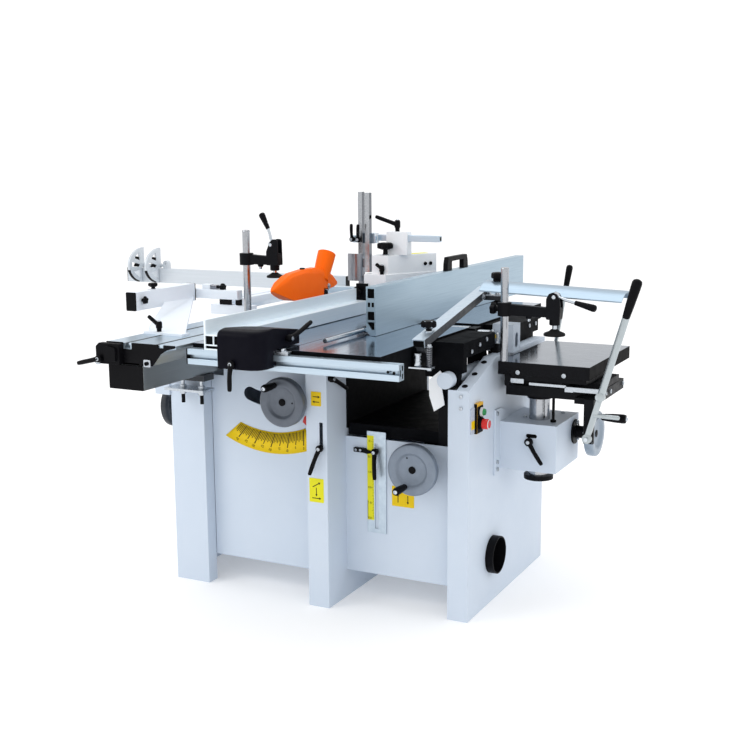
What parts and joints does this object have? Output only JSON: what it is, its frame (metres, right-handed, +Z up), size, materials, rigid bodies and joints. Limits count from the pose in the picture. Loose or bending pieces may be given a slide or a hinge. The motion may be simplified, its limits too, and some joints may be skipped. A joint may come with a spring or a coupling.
{
  "type": "combination woodworking machine",
  "caption": "Free-standing combination woodworking machine with sliding-table saw, spindle moulder, planer-thicknesser and side mortising table on a sheet-steel base.",
  "frame": {"origin": "on the floor under the middle of the machine's bounding box", "axes": "+Z up, +X to the right along the front (towards the mortiser), +Y away from the operator's side"},
  "size_m": [2.4104, 1.7914, 1.286],
  "materials": {
    "white_paint": "powder coat",
    "ground_iron": "ground",
    "aluminium": "anodised",
    "grey_cast": "satin paint",
    "black_cast": "semi-gloss",
    "black_plastic": "moulded",
    "bright_steel": "ground",
    "orange_plastic": "moulded",
    "yellow_scale": "printed sheet",
    "yellow_switch": "moulded",
    "green_button": "moulded",
    "red_button": "moulded"
  },
  "bodies": {
    "base": {"left_side_panel": "white_paint", "middle_wall": "white_paint", "right_side_panel": "white_paint", "saw_front_panel": "white_paint", "thicknesser_front_panel": "white_paint", "rear_panel": "white_paint", "saw_table": "ground_iron", "rip_rail": "aluminium", "slide_beam": "aluminium", "beam_supports": "white_paint", "tilt_scale": "yellow_scale", "spindle_hood": "white_paint", "planer_head": "black_cast", "mortiser_bracket": "white_paint", "switch_plate": "yellow_switch", "dust_port": "black_plastic"},
    "carriage": {"sliding_carriage": "aluminium", "outrigger_frame": "aluminium", "left_clamp_column": "bright_steel"},
    "carriage_lock": {"carriage_lock_lever": "black_plastic"},
    "crosscut": {"crosscut_fence": "aluminium"},
    "stop_a": {"flip_stop_a": "aluminium"},
    "stop_b": {"flip_stop_b": "aluminium"},
    "left_arm": {"left_clamp_arm": "black_cast"},
    "left_lever": {"left_clamp_lever": "black_plastic"},
    "left_wheel": {"left_handwheel": "black_cast"},
    "saw_tilt": {"saw_trunnion": "black_cast"},
    "saw_wheel": {"saw_handwheel": "grey_cast"},
    "saw_lift": {"saw_arbor_unit": "black_cast"},
    "blade": {"saw_blade": "bright_steel"},
    "guard": {"saw_guard": "orange_plastic"},
    "rip": {"rip_fence_bar": "aluminium", "rip_fence_block": "black_cast"},
    "rip_lever": {"rip_fence_lever": "black_plastic"},
    "rip_clamp": {"rip_clamp_lever": "black_plastic"},
    "tables": {"infeed_table": "ground_iron", "outfeed_table": "ground_iron"},
    "fence": {"planer_fence": "aluminium"},
    "bridge_arm": {"guard_arm": "aluminium"},
    "bridge_plate": {"guard_plate": "aluminium"},
    "cutter": {"cutterblock": "bright_steel"},
    "thick_wheel": {"thicknesser_handwheel": "grey_cast"},
    "thick_table": {"thicknesser_table": "ground_iron", "depth_scale": "aluminium"},
    "depth_lock": {"depth_lock_lever": "black_plastic"},
    "feed": {"feed_lever": "black_plastic"},
    "mort_wheel": {"mortiser_handwheel": "grey_cast"},
    "mort_column": {"mortiser_column": "bright_steel"},
    "plunge": {"plunge_lever": "bright_steel"},
    "mort_slide": {"cross_slide": "black_cast"},
    "traverse": {"traverse_lever": "black_plastic"},
    "mort_table": {"mortise_table": "black_cast", "right_clamp_column": "bright_steel"},
    "right_arm": {"right_clamp_arm": "black_cast"},
    "right_lever": {"right_clamp_lever": "black_plastic"},
    "mort_lock": {"mortiser_lock_lever": "black_plastic"},
    "spindle": {"spindle": "bright_steel"},
    "posts": {"pressure_posts": "bright_steel"},
    "start": {"start_button": "green_button"},
    "stop": {"stop_button": "red_button"}
  },
  "joints": [
    {"name": "carriage_travel", "type": "slide", "parent": "base", "child": "carriage", "axis": [0, 1, 0], "range_m": [-0.3, 0.55]},
    {"name": "carriage_lock_turn", "type": "hinge", "parent": "carriage", "child": "carriage_lock", "pos_m": [-0.2692, -0.85526, 0.818], "axis": [0, 1, 0], "range_deg": [-35, 35]},
    {"name": "crosscut_swivel", "type": "hinge", "parent": "carriage", "child": "crosscut", "pos_m": [-0.1572, 0.45574, 0.9], "axis": [0, 0, 1], "range_deg": [-45, 0]},
    {"name": "stop_a_flip", "type": "hinge", "parent": "crosscut", "child": "stop_a", "pos_m": [-1.1302, 0.45574, 0.962], "axis": [1, 0, 0], "range_deg": [-90, 0]},
    {"name": "stop_b_flip", "type": "hinge", "parent": "crosscut", "child": "stop_b", "pos_m": [-1.0422, 0.45574, 0.962], "axis": [1, 0, 0], "range_deg": [-90, 0]},
    {"name": "left_clamp_height", "type": "slide", "parent": "carriage", "child": "left_arm", "axis": [0, 0, 1], "range_m": [-0.13, 0.06]},
    {"name": "left_clamp_turn", "type": "hinge", "parent": "left_arm", "child": "left_lever", "pos_m": [-0.0812, -0.18426, 1.115], "axis": [0, 1, 0], "range_deg": [0, 100]},
    {"name": "left_wheel_turn", "type": "hinge", "parent": "base", "child": "left_wheel", "pos_m": [-0.3712, -0.36626, 0.575], "axis": [1, 0, 0], "range_deg": [0, 432]},
    {"name": "saw_tilt", "type": "hinge", "parent": "base", "child": "saw_tilt", "pos_m": [0.0628, -0.23426, 0.865], "axis": [0, 1, 0], "range_deg": [0, 12]},
    {"name": "saw_wheel_turn", "type": "hinge", "parent": "saw_tilt", "child": "saw_wheel", "pos_m": [0.1638, -0.53926, 0.658], "axis": [0, 1, 0], "range_deg": [-2100.1, 360.1]},
    {"name": "saw_rise", "type": "slide", "parent": "saw_tilt", "child": "saw_lift", "axis": [0, 0, 1], "range_m": [-0.07, 0.012]},
    {"name": "blade_spin", "type": "hinge", "parent": "saw_lift", "child": "blade", "pos_m": [0.0628, -0.23426, 0.785], "axis": [1, 0, 0], "continuous": true},
    {"name": "saw_guard_lift", "type": "hinge", "parent": "saw_lift", "child": "guard", "pos_m": [0.0628, -0.09626, 0.962], "axis": [1, 0, 0], "range_deg": [-18, 0]},
    {"name": "rip_fence_travel", "type": "slide", "parent": "base", "child": "rip", "axis": [1, 0, 0], "range_m": [0, 0.2]},
    {"name": "rip_fence_lock_turn", "type": "hinge", "parent": "rip", "child": "rip_lever", "pos_m": [0.2068, -0.88326, 0.834], "axis": [0, 1, 0], "range_deg": [0, 80]},
    {"name": "rip_bar_clamp_turn", "type": "hinge", "parent": "rip", "child": "rip_clamp", "pos_m": [0.3028, -0.72526, 0.892], "axis": [1, 0, 0], "range_deg": [0, 60]},
    {"name": "planer_table_fold", "type": "hinge", "parent": "base", "child": "tables", "pos_m": [0.6678, -0.08926, 0.748], "axis": [0, -1, 0], "range_deg": [-8, 0]},
    {"name": "planer_fence_travel", "type": "slide", "parent": "tables", "child": "fence", "axis": [1, 0, 0], "range_m": [0, 0.15]},
    {"name": "bridge_guard_height", "type": "hinge", "parent": "tables", "child": "bridge_arm", "pos_m": [0.6358, -0.53426, 0.862], "axis": [1, 0, 0], "range_deg": [0, 25]},
    {"name": "bridge_guard_reach", "type": "slide", "parent": "bridge_arm", "child": "bridge_plate", "axis": [0.9994, 0, -0.0349], "range_m": [-0.17, 0]},
    {"name": "cutterblock_spin", "type": "hinge", "parent": "base", "child": "cutter", "pos_m": [0.4658, -0.08926, 0.828], "axis": [1, 0, 0], "continuous": true},
    {"name": "thicknesser_wheel_turn", "type": "hinge", "parent": "base", "child": "thick_wheel", "pos_m": [0.5718, -0.46326, 0.47], "axis": [0, 1, 0], "range_deg": [-0.1, 9000.1]},
    {"name": "thicknesser_height", "type": "slide", "parent": "base", "child": "thick_table", "axis": [0, 0, 1], "range_m": [0, 0.2]},
    {"name": "depth_lock_turn", "type": "hinge", "parent": "base", "child": "depth_lock", "pos_m": [0.4178, -0.40926, 0.497], "axis": [0, 1, 0], "range_deg": [-40, 40]},
    {"name": "feed_lever_turn", "type": "hinge", "parent": "base", "child": "feed", "pos_m": [0.2858, -0.52926, 0.52], "axis": [0, 1, 0], "range_deg": [-60, 0]},
    {"name": "mortiser_wheel_turn", "type": "hinge", "parent": "base", "child": "mort_wheel", "pos_m": [0.9988, -0.00226, 0.528], "axis": [1, 0, 0], "range_deg": [-3900.1, 360.1]},
    {"name": "mortiser_height", "type": "slide", "parent": "base", "child": "mort_column", "axis": [0, 0, 1], "range_m": [-0.065, 0.006]},
    {"name": "plunge_swing", "type": "hinge", "parent": "mort_column", "child": "plunge", "pos_m": [1.0538, -0.27426, 0.574], "axis": [0, 1, 0], "range_deg": [0, 33]},
    {"name": "plunge_slide", "type": "slide", "parent": "mort_column", "child": "mort_slide", "axis": [1, 0, 0], "range_m": [-0.00001, 0.0864]},
    {"name": "traverse_swing", "type": "hinge", "parent": "mort_slide", "child": "traverse", "pos_m": [0.7703, 0.26074, 0.713], "axis": [1, 0, 0], "range_deg": [-8, 20]},
    {"name": "traverse_slide", "type": "slide", "parent": "mort_slide", "child": "mort_table", "axis": [0, 1, 0], "range_m": [-0.06982, 0.02793]},
    {"name": "right_clamp_height", "type": "slide", "parent": "mort_table", "child": "right_arm", "axis": [0, 0, 1], "range_m": [-0.055, 0.05]},
    {"name": "right_clamp_turn", "type": "hinge", "parent": "right_arm", "child": "right_lever", "pos_m": [0.9378, -0.24626, 0.99], "axis": [0, 1, 0], "range_deg": [-80, 0]},
    {"name": "mortiser_lock_turn", "type": "hinge", "parent": "base", "child": "mort_lock", "pos_m": [0.8478, -0.19926, 0.527], "axis": [0, 1, 0], "range_deg": [-35, 35]},
    {"name": "spindle_spin", "type": "hinge", "parent": "base", "child": "spindle", "pos_m": [0.1378, 0.17074, 0.8], "axis": [0, 0, 1], "continuous": true},
    {"name": "pressure_post_height", "type": "slide", "parent": "base", "child": "posts", "axis": [0, 0, 1], "range_m": [0, 0.035]},
    {"name": "start_press", "type": "slide", "parent": "base", "child": "start", "axis": [1, 0, 0], "range_m": [-0.004, 0], "stiffness_N_per_m": 800},
    {"name": "stop_press", "type": "slide", "parent": "base", "child": "stop", "axis": [1, 0, 0], "range_m": [-0.0035, 0], "stiffness_N_per_m": 800}
  ],
  "couplings": [
    {"joint": "saw_tilt", "follows": "left_wheel_turn", "ratio": 0.027778},
    {"joint": "saw_wheel_turn", "follows": "saw_rise", "rad_per_m": 523.6},
    {"joint": "thicknesser_wheel_turn", "follows": "thicknesser_height", "rad_per_m": 785.4},
    {"joint": "mortiser_wheel_turn", "follows": "mortiser_height", "rad_per_m": 1047.2},
    {"joint": "plunge_slide", "follows": "plunge_swing", "m_per_rad": 0.15},
    {"joint": "traverse_slide", "follows": "traverse_swing", "m_per_rad": -0.2}
  ]
}
